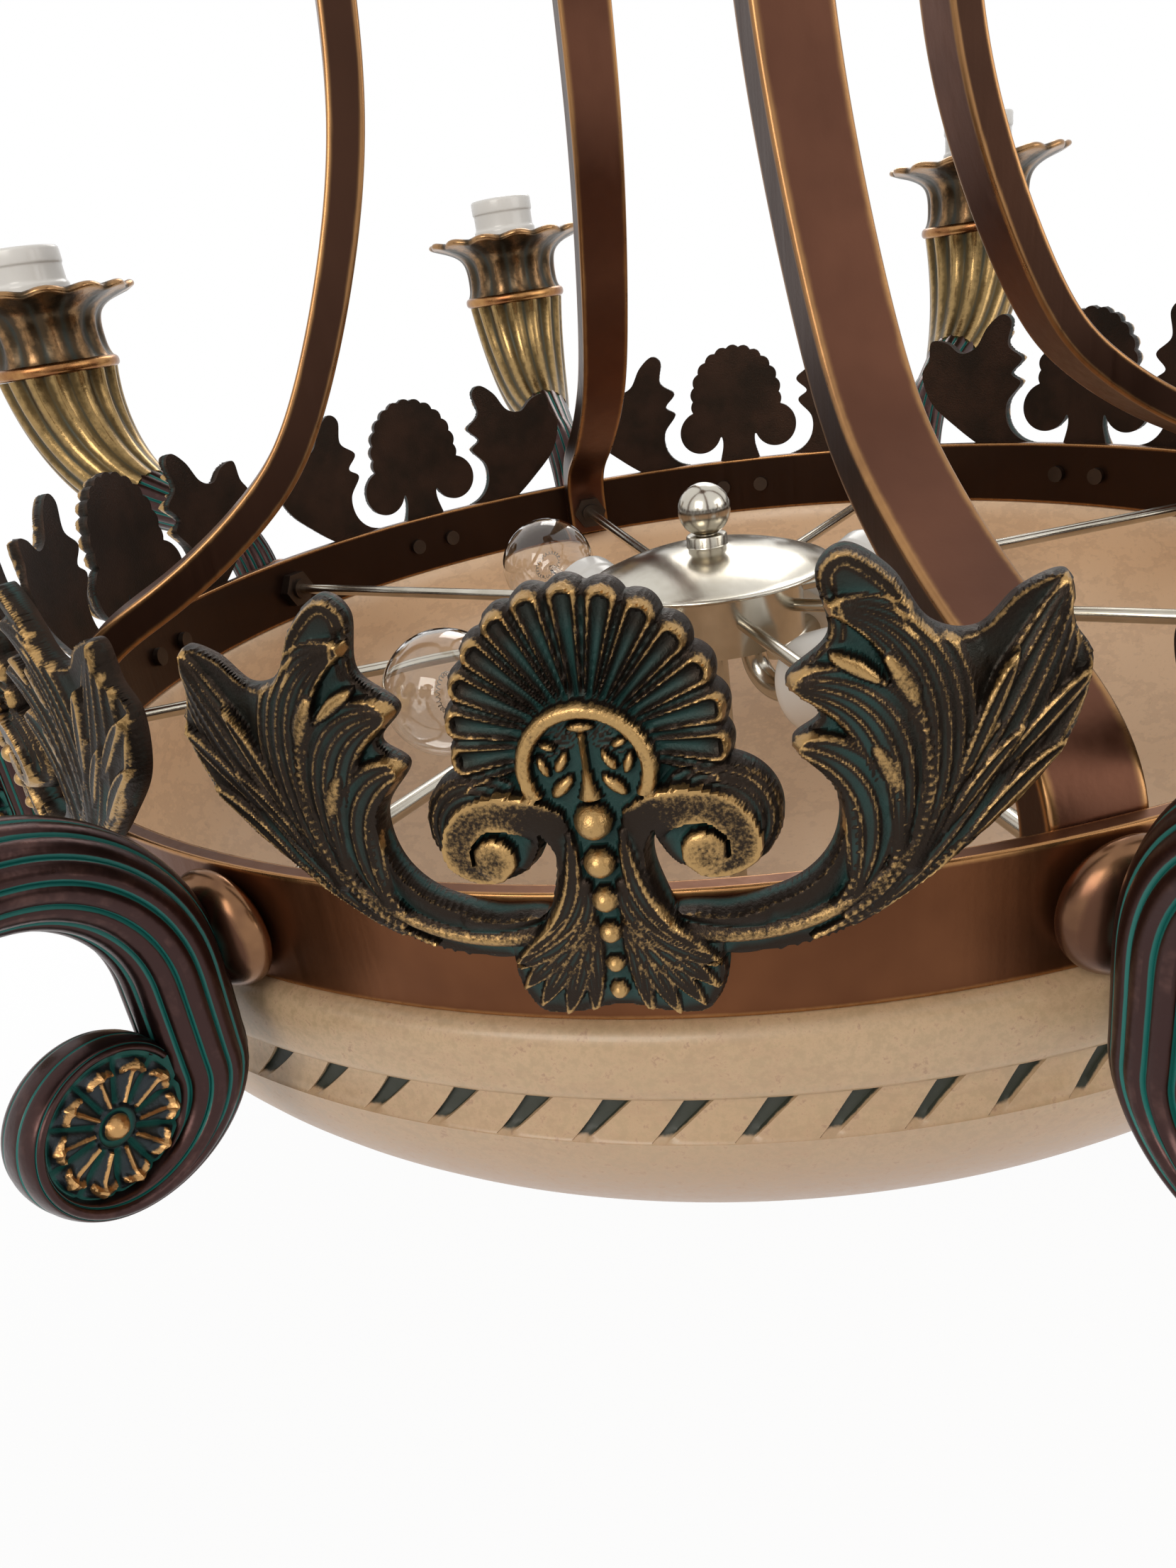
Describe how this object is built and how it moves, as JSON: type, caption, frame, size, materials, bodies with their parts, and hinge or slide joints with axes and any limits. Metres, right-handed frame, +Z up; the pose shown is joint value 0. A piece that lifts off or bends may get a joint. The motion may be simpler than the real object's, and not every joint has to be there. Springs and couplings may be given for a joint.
{
  "type": "chandelier",
  "caption": "Antique brass chandelier with horn-shaped arms, cast palmette ornaments round a flat ring, bent strap hangers and a shallow stone bowl.",
  "frame": {"origin": "centre of the mounting bar's top face, on the ceiling, on the lamp's vertical axis", "axes": "+Z up out of the ceiling face, +X along the mounting bar and along one strap, +Y along the next strap"},
  "size_m": [0.8878, 0.8878, 0.7208],
  "materials": {
    "antique_brass": "satin brown antique brass, rubbed golden on the edges",
    "patina_brass": "cast brass, dark green patina in the hollows and gold on the ridges",
    "horn_brass": "brighter worn antique brass",
    "stone": "polished cream stone with fine brown speckle",
    "nickel": "plated, dull polish",
    "steel": "plain steel fasteners",
    "white_holder": "glossy white",
    "clear_glass": "clear"
  },
  "bodies": {
    "frame": {"mounting_bar": "steel", "stem_nut": "steel", "stem": "antique_brass", "crown": "antique_brass", "crown_screws": "antique_brass", "ring": "antique_brass", "ornament_screws": "steel", "arm_nipples": "steel", "arm_nuts": "steel", "spokes": "nickel", "lampholders": "white_holder", "hub": "nickel", "hub_cover": "nickel", "bowl_rod": "nickel", "bowl": "stone", "bowl_washer": "horn_brass", "lamp_tubes": "nickel", "inner_lampholders": "white_holder", "bulbs": "clear_glass", "strap_1": "antique_brass", "strap_2": "antique_brass", "strap_3": "antique_brass", "strap_4": "antique_brass", "arm_1": "patina_brass", "boss_1": "horn_brass", "horn_1": "horn_brass", "ornament_1": "patina_brass", "arm_2": "patina_brass", "boss_2": "horn_brass", "horn_2": "horn_brass", "ornament_2": "patina_brass", "arm_3": "patina_brass", "boss_3": "horn_brass", "horn_3": "horn_brass", "ornament_3": "patina_brass", "arm_4": "patina_brass", "boss_4": "horn_brass", "horn_4": "horn_brass", "ornament_4": "patina_brass", "arm_5": "patina_brass", "boss_5": "horn_brass", "horn_5": "horn_brass", "ornament_5": "patina_brass", "arm_6": "patina_brass", "boss_6": "horn_brass", "horn_6": "horn_brass", "ornament_6": "patina_brass", "arm_7": "patina_brass", "boss_7": "horn_brass", "horn_7": "horn_brass", "ornament_7": "patina_brass", "arm_8": "patina_brass", "boss_8": "horn_brass", "horn_8": "horn_brass", "ornament_8": "patina_brass"},
    "canopy": {"canopy": "antique_brass", "canopy_collar": "antique_brass"},
    "ball nut": {"ball_nut": "nickel"},
    "finial": {"finial": "horn_brass"}
  },
  "joints": [
    {"name": "canopy slide", "type": "slide", "parent": "frame", "child": "canopy", "axis": [0, 0, -1], "range_m": [0, 0.06]},
    {"name": "ball nut turn", "type": "hinge", "parent": "frame", "child": "ball nut", "pos_m": [0, 0, -0.496], "axis": [0, 0, 1], "continuous": true},
    {"name": "finial turn", "type": "hinge", "parent": "frame", "child": "finial", "pos_m": [0, 0, -0.69048], "axis": [0, 0, 1], "continuous": true}
  ]
}
